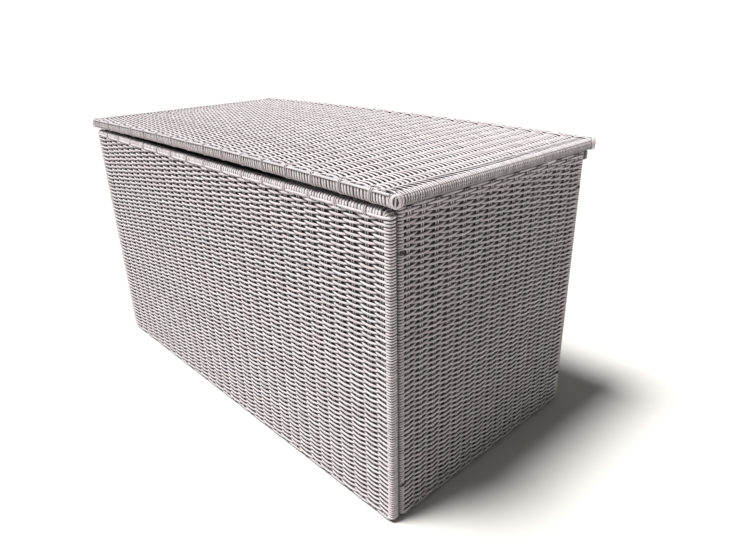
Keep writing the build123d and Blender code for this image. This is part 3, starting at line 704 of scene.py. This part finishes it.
def woven_panel(name, u0, u1, warps, to_world, sag=0.0, dodge=(), bulge=None, bordered=True, seam=0.0, light=(0.26, 0.82, 0.03), rise=1.7, dim=1.0, groove=0.95, widths=(6.3, 5.0, 5.0)):
    half = max(abs(u0), abs(u1))
    top = TOP - 23.3 if bordered else TOP - 2.9
    count = int(round((top - 6.9) / PITCH)) + 1
    zs = np.linspace(top, 6.9, count)
    parity = (np.arange(count) + 1) % 2
    straps = [w for i, w in enumerate(warps) if i % 2 == 1]
    mid, amp = np.full(count, MID), np.full(count, AMP)
    mid[-2:], amp[-2:] = (3.2, 2.3), (2.2, 0.7)
    if not bordered:
        mid[:4], amp[:4] = (3.2, 2.5, 2.5, 3.6), (0.4, 1.3, 1.5, 2.6)

    def droop(U, Z):
        t = np.clip((Z - BOTTOM) / (TOP - BOTTOM), 0, 1) ** 2.2
        return -sag * (1 - (U / half) ** 2) * t

    st = Strands()
    weft_rows(st, u0, u1, warps, zs, parity, to_world, sag=droop, dodge=dodge, bulge=bulge, inset=bottom_inset, mid=mid, amp=amp,
              corner=6.0, stile=13.0, seam=seam, light=light, rise=rise, dim=dim, groove=groove, widths=widths)
    underside(st, u0, u1, to_world)
    ends = ((TOP - 15.5, 3.6), (BOTTOM + 2.8, 5.0)) if bordered else ((TOP - 3.4, 4.2), (BOTTOM + 2.8, 5.0))
    warp_pairs(st, warps, zs, parity, to_world, ends, sag=droop, bulge=bulge, mid=mid)
    if dim < 1:
        # Painted shade: the side panels' strands are dimmed and take only the warmer tints, as the side in shade looks.
        st.parts = [(V, tone, 0.55 + 0.45 * hue, cav, length, off) for V, tone, hue, cav, length, off in st.parts]
    st.pieces(f"{name}_weave_strands", "box", STRAND, [f"{name}_weave"])
    rail = Strands()
    if bordered:
        border(rail, u0, u1, warps, to_world, sag, half, straps=straps)
    else:
        # The rows run on over the top rail and down its inner face, with each warp pair carried over them.
        U = np.arange(u0 + 6.0, u1 - 5.0, 12.0)
        n = len(U)
        for w, z, tilt in ((8.8, TOP - 2.1, 0), (15.2, TOP - 2.1, 0), (21.0, TOP - 4.2, 0.7), (21.9, TOP - 10.5, 1), (21.9, TOP - 17.0, 1), (21.2, TOP - 23.0, 1)):
            W = np.full(n, w) + smooth_noise(n, 8, 0.15, 1)[0]
            Z = np.full(n, z) + smooth_noise(n, 8, 0.15, 1)[0]
            P = to_world(U, W, Z)
            N = (to_world(U, W + tilt, Z) - P) + np.array([0, 0, 1.0 - tilt])
            rail.add(P, unit(N), 6.2, 4.0)
        for s in warps:
            for d in (-3.0, 3.0):
                x = np.array([s + d])
                c = to_world(x, np.array([13.4]), np.array([TOP - 12.2]))
                e1 = to_world(x, np.array([12.4]), np.array([TOP - 12.2])) - c
                loops(rail, c, unit(e1), [[0, 0, 1.0]], 10.2, 11.6, 4.0, 3.4, 2.2, wobble=0.15)
    rail.pieces(f"{name}_top_wraps", "box", STRAND, [f"{name}_top_wrap"])


def world_front(U, W, Z):
    U, W, Z = np.broadcast_arrays(U, W, Z)
    return np.stack([U, -BODY_D / 2 + W + OY, Z], -1)


def world_back(U, W, Z):
    U, W, Z = np.broadcast_arrays(U, W, Z)
    return np.stack([-U, BODY_D / 2 - W + OY, Z], -1)


def world_right(U, W, Z):
    U, W, Z = np.broadcast_arrays(U, W, Z)
    return np.stack([BODY_W / 2 - W, U + OY, Z], -1)


def world_left(U, W, Z):
    U, W, Z = np.broadcast_arrays(U, W, Z)
    return np.stack([-BODY_W / 2 + W, -U + OY, Z], -1)


def front_bulge(U, Z):
    return 3.0 * np.clip(1 - (U / 690.0) ** 2, 0, 1) * np.clip(np.sin(np.pi * np.clip((Z - 4) / 741, 0, 1)), 0, 1)


# The warps stand about 44 mm apart, set by hand and so not quite evenly.
front_warps = [-656.0, -612.0, -567.5, -523.0, -476.5, -432.0, -387.0, -340.0, -294.5, -249.0, -204.5, -160.5, -113.5, -69.5, -24.0, 23.0,
               68.0, 111.5, 156.5, 201.0, 245.5, 288.5, 330.0, 373.5, 419.5, 460.5, 503.0, 546.5, 590.5, 634.0, 673.0]
side_warps = [-298.0, -257.5, -214.5, -171.0, -127.0, -83.0, -39.0, 5.5, 51.0, 96.0, 141.0, 185.0, 229.0, 272.0, 313.0]
SIDE_BOLTS = [(-316.2, 94.0), (-316.2, 655.0), (340.5, 94.0), (340.5, 655.0)]
woven_panel("front", -700.0, 700.0, front_warps, world_front, sag=2.0, bulge=front_bulge)
woven_panel("back", -675.7, 675.7, list(np.linspace(-646.0, 646.0, 30) + rng.normal(size=30) * 1.2), world_back)
# The side panels get painted shade: dim darkens all their strands.
woven_panel("right", -328.2, 352.5, side_warps, world_right, dodge=SIDE_BOLTS, bordered=False, seam=-1, light=(0.46, 0.97, 0.02), rise=2.4, dim=0.72, groove=0.80, widths=(6.5, 5.5, 5.4))
woven_panel("left", -352.5, 328.2, [-u for u in side_warps[::-1]], world_left, dodge=[(-u, z) for u, z in SIDE_BOLTS], bordered=False, seam=1, light=(0.46, 0.97, 0.02), rise=2.4, dim=0.72, groove=0.80, widths=(6.5, 5.5, 5.4))

# ------------------------------------------------------------------ hinge rail wraps
rail = Strands()
xs = np.linspace(-692.5, 692.5, 202)
n = len(xs)
C = np.stack([xs, np.full(n, BODY_D / 2 + 7.0 + OY), np.full(n, 734.0)], -1)
loops(rail, C, np.tile([0, 1.0, 0], (n, 1)), np.tile([0, 0, 1.0], (n, 1)), 6.0, 10.0, 2.0, 6.3, 2.0, wobble=0.12)
rail.pieces("hinge_rail_wraps", "box", STRAND, ["hinge_rail_wrap"])
ends = Strands()
for sx in (-1, 1):
    for y in (2.9, 7.0, 11.1):
        q = [(684.0, 744.3), (692.0, 744.6)] + arc_pts(696.0, 741.4, 3.2, 90, 0, 4) + [(699.2, 734.0)] + arc_pts(696.0, 726.6, 3.2, 0, -90, 4) + [(692.0, 723.4), (684.0, 723.7)]
        q = np.array(q)
        P = np.stack([sx * q[:, 0], np.full(len(q), BODY_D / 2 + y + OY), q[:, 1]], -1)
        t = np.gradient(q, axis=0)
        N = np.stack([-sx * t[:, 1], np.zeros(len(q)), t[:, 0]], -1)
        # Painted shade: these end wraps lie in the lid's shadow, so they take a dark tone and a strong darkening.
        ends.add(P, unit(N), 4.0, 1.7, tone=0.1, cavity=0.28)
ends.pieces("hinge_rail_end_wraps", "box", STRAND, ["rail_end_wraps"])

# ------------------------------------------------------------------ lid
LX = BODY_W / 2 + 20.0
LY0, LY1 = -BODY_D / 2 - 3.0, BODY_D / 2 + 18.0
LZ, LT, BOW = 749.5, 29.0, 7.0
LD = LY1 - LY0


def bow(x):
    return BOW * (1 - (np.asarray(x, float) / LX) ** 2)


def world_lid(U, W, V):
    """U along the box, W down from the lid's top, V from front to rear."""
    U, W, V = np.broadcast_arrays(U, W, V)
    return np.stack([U, V + OY, LZ + LT - W + bow(U)], -1)


lid = Strands()
lid_warps = [679.5] + list(655.1 - 44.05 * np.arange(29)) + [-617.0, -655.0, -679.5]
lid_warps = np.array(lid_warps[::-1])
first_strap = int(np.argmin(np.abs(lid_warps - 655.1))) % 2
ds = np.concatenate([[8.4, 15.4, 23.0, 30.6], np.linspace(38.0, LD - 38.0, 102), [LD - 30.6, LD - 23.0, LD - 15.4, LD - 8.4]])
lid_rows = len(ds)
lid_parity = (np.arange(lid_rows) + first_strap) % 2
lid_mid, lid_amp = np.full(lid_rows, MID), np.full(lid_rows, AMP)
# The outer rows are looser, with larger openings, and their painted shade starts at a smaller depth, so the openings
# look darker.
lid_d0, lid_d1 = np.full(lid_rows, 0.34), np.full(lid_rows, 0.90)
for k in range(5):
    lid_d0[[k, -1 - k]], lid_d1[[k, -1 - k]] = 0.0 + 0.06 * k, 0.62 + 0.05 * k
for k, (m, a) in enumerate(((2.3, 0.9), (2.5, 1.7), (3.6, 2.9), (5.3, 3.8))):
    lid_mid[[k, -1 - k]], lid_amp[[k, -1 - k]] = m, a
# Painted shade on the rim: face darkens the strands where they turn down the rim, and outer darkens the outermost rows'
# ends.
weft_rows(lid, -LX, LX, lid_warps, LY0 + ds, lid_parity, world_lid, mid=lid_mid, amp=lid_amp, jitter=0.32, thick=LT, corner=13.0,
          stile=19.2, rise=2.4, light=(lid_d0, lid_d1, 0.03), widths=(6.3, 5.2, 4.5), groove=1.0, face=(7.0, 14.0, 0.60), holes=16.0, outer=0.12)
warp_pairs(lid, lid_warps, LY0 + ds, lid_parity, world_lid, ((LY0 + 8.0, 3.6), (LY1 - 8.0, 3.6)), mid=lid_mid, wiggle=0.7, lift=0.4, dark=0.95)
lid.pieces("lid_weave_strands", "lid", STRAND, ["lid_weave"])

# The rim's surface, by the distance s along it (from the corner's diagonal, or x on a straight edge), the depth d in from it and w down from the top.
WRAP_PATH = np.array([(30.0, 24.6), (26.5, 26.5), (19.0, 26.9), (9.2, 26.9)] + arc_pts(9.2, 19.9, 7.0, 90, 180, 5)[1:] + [(2.2, 15.0)]
                     + arc_pts(10.2, 10.2, 8.0, 180, 255, 5) + [(9.4, 4.2)])
STRAP_PATH = np.array([(30.0, 25.4), (24.0, 28.0), (16.0, 28.4), (9.4, 28.4)] + arc_pts(9.4, 19.9, 8.5, 90, 180, 5)[1:] + [(0.9, 15.0)]
                      + [(0.6, 9.0), (0.2, 5.0), (0.6, 2.2), (2.2, 0.5), (4.6, 0.1), (7.2, 1.4), (9.8, 4.6)])


def path_normals(q):
    t = np.gradient(q, axis=0)
    return np.stack([t[:, 1], -t[:, 0]], -1)


def rim_strips(strands, xs, path, edge, width, thick, lean=0.0, wobble=0.3, tone=None, cavity=1.0, groove=0.9):
    """Strands across the front (edge -1) or rear (edge 1) rim, at each x."""
    xs = np.asarray(xs, float)
    S, n = len(xs), len(path)
    d, w = path.T
    nd, nw = path_normals(path).T
    y = (LY0 + d) if edge < 0 else (LY1 - d)
    X = xs[:, None] + lean * ((w - 14.5) / 14.5)[None, :] + smooth_noise(n, 4, wobble, S)
    P = np.stack([X, np.broadcast_to(y + OY, X.shape), LZ + LT - w[None, :] + bow(X)], -1)
    N = np.stack([np.zeros(n), nd * (-edge), -nw], -1)
    strands.add(P, np.broadcast_to(unit(N), P.shape), width, thick, tone=tone, cavity=cavity, groove=groove)


# Painted shade: the wraps darken where the long edge strand lies over them, and underneath.
RIM_SHADE = (1 - 0.75 * smooth((9.0 - WRAP_PATH[:, 1]) / 4.0) - 0.45 * smooth((WRAP_PATH[:, 1] - 20.0) / 6.0))[None, :, None]
rim = Strands()
strap_sets = {-1: [w for i, w in enumerate(lid_warps) if i % 2 == first_strap], 1: [w for i, w in enumerate(lid_warps) if i % 2 == (first_strap + lid_rows - 1) % 2]}
for edge in (-1, 1):
    straps = [w for w in strap_sets[edge] if abs(w) < 690]
    xs = clear_of(np.arange(-LX + 25.0, LX - 24.0, 9.15), [s for s in straps if abs(s) < 670], 8.2)
    xs = xs + rng.normal(size=len(xs)) * 0.35
    rim_strips(rim, xs, WRAP_PATH, edge, 6.4, 4.3, lean=0.8, cavity=RIM_SHADE, groove=1.0)
    inner = [s for s in straps if abs(s) < 670]
    # Painted shade: the strap pairs and the long edge strand are darkened a little; the edge strand also takes a low
    # tone.
    rim_strips(rim, [s + k for s in inner for k in (-2.6, 2.6)], STRAP_PATH, edge, 3.1, 3.0, lean=0.4, wobble=0.2, cavity=0.84, groove=1.15)
    # The long strand over the wraps' upper ends, which the strap pairs hold down.
    U = np.linspace(-LX + 17, LX - 17, 420)
    dip = np.zeros(len(U))
    for s in inner:
        dip = np.maximum(dip, np.exp(-((U - s) / 9.0) ** 4))
    d = 2.0 + 0.9 * dip + smooth_noise(420, 30, 0.25, 1)[0]
    V = LY0 + d if edge < 0 else LY1 - d
    P = world_lid(U, 2.9 + 1.0 * dip, V)
    rim.add(P, unit(np.array([0, 1.0 * edge, 1.0])), 6.0, 4.2, tone=0.4, cavity=0.88, groove=1.0)

# Corners: the wraps part round a small oval knot that faces the diagonal.
RO = 14.2
ARC = RO * math.pi / 4


def corner_points(sx, sy, s, d, w):
    """Points on the rim at the distance s from the corner's diagonal, and the outward direction there."""
    s, d, w = np.broadcast_arrays(np.asarray(s, float), np.asarray(d, float), np.asarray(w, float))
    cx, cy = LX - RO, (LY1 - RO if sy > 0 else -(LY0 + RO))
    th = math.pi / 4 + np.clip(s, -ARC, ARC) / RO
    extra = np.sign(s) * np.maximum(np.abs(s) - ARC, 0)
    ox, oy = np.sin(th), np.cos(th)
    px = cx + (RO - d) * ox + extra * oy
    py = cy + (RO - d) * oy - extra * ox
    x, y = sx * px, sy * py
    return np.stack([x, y + OY, LZ + LT - w + bow(x)], -1), np.stack([sx * ox, sy * oy, np.zeros_like(ox)], -1)


for sx in (-1, 1):
    for sy in (-1, 1):
        for side in (-1, 1):
            for s0, belly in ((4.6, 8.2), (11.6, 6.8)):
                d, w = WRAP_PATH.T
                keep = d <= 19.5
                d, w = d[keep], w[keep]
                s = side * (s0 + belly * np.sin(np.pi * np.clip((w - 1.5) / 26.0, 0, 1)))
                P, O = corner_points(sx, sy, s, d, w)
                nd, nw = path_normals(np.stack([d, w], -1)).T
                N = O * (-nd)[:, None] + np.array([0, 0, -1.0]) * nw[:, None]
                rim.add(P, unit(N), 4.5, 4.0, groove=1.1)
        a = np.linspace(0.5 * np.pi, 2.5 * np.pi, 29)
        P, O = corner_points(sx, sy, 7.7 * np.cos(a), 0.9 + 1.6 * np.sin(a) ** 2, 14.6 + 12.0 * np.sin(a))
        N = O - np.array([0, 0, 1.0]) * 0.7 * np.sin(a)[:, None]
        rim.add(P, unit(N), 4.7, 4.2, tone=0.8)
        w = np.linspace(4.5, 25.5, 9)
        P, O = corner_points(sx, sy, 0.6 * np.sin(w / 5), 2.2, w)
        rim.add(P, O, 4.0, 3.6, tone=0.6)
rim.pieces("lid_rim_wraps", "lid", STRAND, ["lid_rim_wrap"])

# ------------------------------------------------------------------ liner
def liner_mesh():
    X, Y, Z0, Z1 = 649.6, 326.1, 30.2, 736.8
    me = bpy.data.meshes.new("liner_cloth")
    verts, faces, uvs = [], [], []
    index = {}

    def vert(p):
        key = tuple(np.round(p, 3))
        if key not in index:
            index[key] = len(verts)
            verts.append(p)
        return index[key]

    def patch(fn, nu, nv, uv0, size):
        ids = [[vert(fn(i / nu, j / nv)) for i in range(nu + 1)] for j in range(nv + 1)]
        for j in range(nv):
            for i in range(nu):
                faces.append((ids[j][i], ids[j][i + 1], ids[j + 1][i + 1], ids[j + 1][i]))
                uvs.extend([((uv0[0] + size[0] * a / nu), (uv0[1] + size[1] * b / nv)) for a, b in ((i, j), (i + 1, j), (i + 1, j + 1), (i, j + 1))])

    def fold(a, t, span, amp):
        """Shallow folds that hang from the tabs: none at the corners and the bottom seam."""
        edge = math.sin(math.pi * a) ** 0.5 if 0 < a < 1 else 0.0
        return amp * edge * (0.35 + 0.65 * t) * (math.sin(a * span * 2 * math.pi + 0.7) * 0.6 + math.sin(a * span * 3.7 * math.pi + 2.1) * 0.4) * math.sin(math.pi * min(t * 1.0 + 0.0, 1.0) * 0.5)

    def droop(a, t, tabs):
        """The top edge dips a little between its tabs."""
        return -7.0 * t ** 6 * abs(math.sin(a * tabs * math.pi)) ** 0.8

    nx, ny, nz = 120, 60, 48

    def front(a, t):
        d = 3.0 + fold(a, t, 7, 4.0) if 0 < a < 1 and t > 0 else 0.0
        d = max(0.0, d) * min(1.0, t * 6) * min(1.0, a * 20, (1 - a) * 20)
        return (-X + 2 * X * a, -Y + d, Z0 + (Z1 - Z0) * t + droop(a, t, 4))

    def back(a, t):
        x, y, z = front(1 - a, t)
        return (x, -y, z)

    def right(a, t):
        d = 3.0 + fold(a, t, 4, 4.5) if 0 < a < 1 and t > 0 else 0.0
        d = max(0.0, d) * min(1.0, t * 6) * min(1.0, a * 15, (1 - a) * 15)
        return (X - d, -Y + 2 * Y * a, Z0 + (Z1 - Z0) * t + droop(a, t, 3) * (1 if 0 < a < 1 else 0))

    def left(a, t):
        x, y, z = right(1 - a, t)
        return (-x, y, z)

    def bottom(a, b):
        h = 1.2 * abs(math.sin(a * 9) * math.sin(b * 7)) * min(1.0, a * 12, (1 - a) * 12, b * 8, (1 - b) * 8)
        return (-X + 2 * X * a, Y - 2 * Y * b, Z0 + h)

    H = (Z1 - Z0) * MM
    patch(front, nx, nz, (0.7, 0.0), (2 * X * MM, H))
    patch(right, ny, nz, (2.1, 0.0), (2 * Y * MM, H))
    patch(back, nx, nz, (0.7, 1.5), (2 * X * MM, H))
    patch(left, ny, nz, (0.0, 0.0), (2 * Y * MM, H))
    patch(bottom, nx, ny, (0.7, 0.75), (2 * X * MM, 2 * Y * MM))
    co = np.array([(x, y + OY, z) for x, y, z in verts]) * MM
    me.from_pydata(co.tolist(), [], faces)
    layer = me.uv_layers.new(name="cloth")
    layer.data.foreach_set("uv", np.array(uvs, np.float32).ravel())
    me.polygons.foreach_set("use_smooth", np.ones(len(faces), bool))
    me.update()
    return me


liner = bpy.data.objects.new("liner_cloth", liner_mesh())
bpy.context.scene.collection.objects.link(liner)
liner.data.materials.append(LINER)
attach(liner, "box")
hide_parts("liner")

# Webbing tabs, sewn to the liner's hem and fixed inside the top rails.
def tab_mesh(x0, s):
    nu, nv = 10, 34
    verts, faces, uvs = [], [], []
    for j in range(nv + 1):
        t = j / nv
        z = 680.4 + 57.2 * t
        y = 327.2 + 0.55 * math.sin(math.pi * t) * math.sin(5.0 * t + x0) + 0.25 * math.sin(9 * t)
        for i in range(nu + 1):
            a = i / nu - 0.5
            verts.append(((x0 + 29.6 * a + 0.25 * math.sin(7 * t + i)) * MM, (s * (y + 0.35 * (2 * a) ** 4) + OY) * MM, z * MM))
    for j in range(nv):
        for i in range(nu):
            k = j * (nu + 1) + i
            faces.append((k, k + 1, k + nu + 2, k + nu + 1))
            uvs += [(a / nu * 0.03, b / nv * 0.0574) for a, b in ((i, j), (i + 1, j), (i + 1, j + 1), (i, j + 1))]
    me = bpy.data.meshes.new("liner_tab")
    me.from_pydata(verts, [], faces)
    layer = me.uv_layers.new(name="cloth")
    layer.data.foreach_set("uv", np.array(uvs, np.float32).ravel())
    me.polygons.foreach_set("use_smooth", np.ones(len(faces), bool))
    me.update()
    return me


for k, x0 in enumerate((-520.0, -175.0, 175.0, 520.0)):
    for s, place in ((-1, "front"), (1, "back")):
        ob = bpy.data.objects.new(f"liner_tab_{place}_{k + 1}", tab_mesh(x0, s))
        bpy.context.scene.collection.objects.link(ob)
        ob.data.materials.append(TAPE)
        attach(ob, "box")
        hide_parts("liner_tabs")

# ------------------------------------------------------------------ floor and light
def floor():
    me = bpy.data.meshes.new("floor")
    s = 14.0
    me.from_pydata([(-s, -s, 0), (s, -s, 0), (s, s, 0), (-s, s, 0)], [], [(0, 1, 2, 3)])
    ob = bpy.data.objects.new("floor", me)
    bpy.context.scene.collection.objects.link(ob)
    m, nt, p = nodes_of("floor")
    p.inputs["Base Color"].default_value = (0.605, 0.590, 0.568, 1)
    p.inputs["Roughness"].default_value = 0.9
    p.inputs["Specular IOR Level"].default_value = 0.1
    me.materials.append(m)


floor()


def sun(name, towards, strength, angle, colour=(1, 1, 1)):
    l = bpy.data.lights.new(name, "SUN")
    l.energy = strength
    l.angle = math.radians(angle)
    l.color = colour
    ob = bpy.data.objects.new(name, l)
    ob.rotation_euler = Vector(towards).to_track_quat("Z", "Y").to_euler()
    ob.location = Vector(towards) * 3
    bpy.context.scene.collection.objects.link(ob)


sun("key", (-0.26, -0.37, 1.30), 5.6, 16.0)
# A dim sky over a bright horizon, as in a white studio.
world = bpy.data.worlds.new("world")
bpy.context.scene.world = world
world.use_nodes = True
wt = world.node_tree
tc = wt.nodes.new("ShaderNodeTexCoord")
sep = wt.nodes.new("ShaderNodeSeparateXYZ")
link(wt, tc.outputs["Generated"], sep.inputs[0])
sky = ramp(wt, sep.outputs[2], [(0.065, (1.0, 1.0, 1.0)), (0.17, (0.45, 0.446, 0.434)), (0.42, (0.12, 0.118, 0.110)), (1.0, (0.075, 0.073, 0.066))])
link(wt, sky, wt.nodes["Background"].inputs[0])
wt.nodes["Background"].inputs[1].default_value = 1.05
bpy.context.scene.view_settings.view_transform = "Standard"
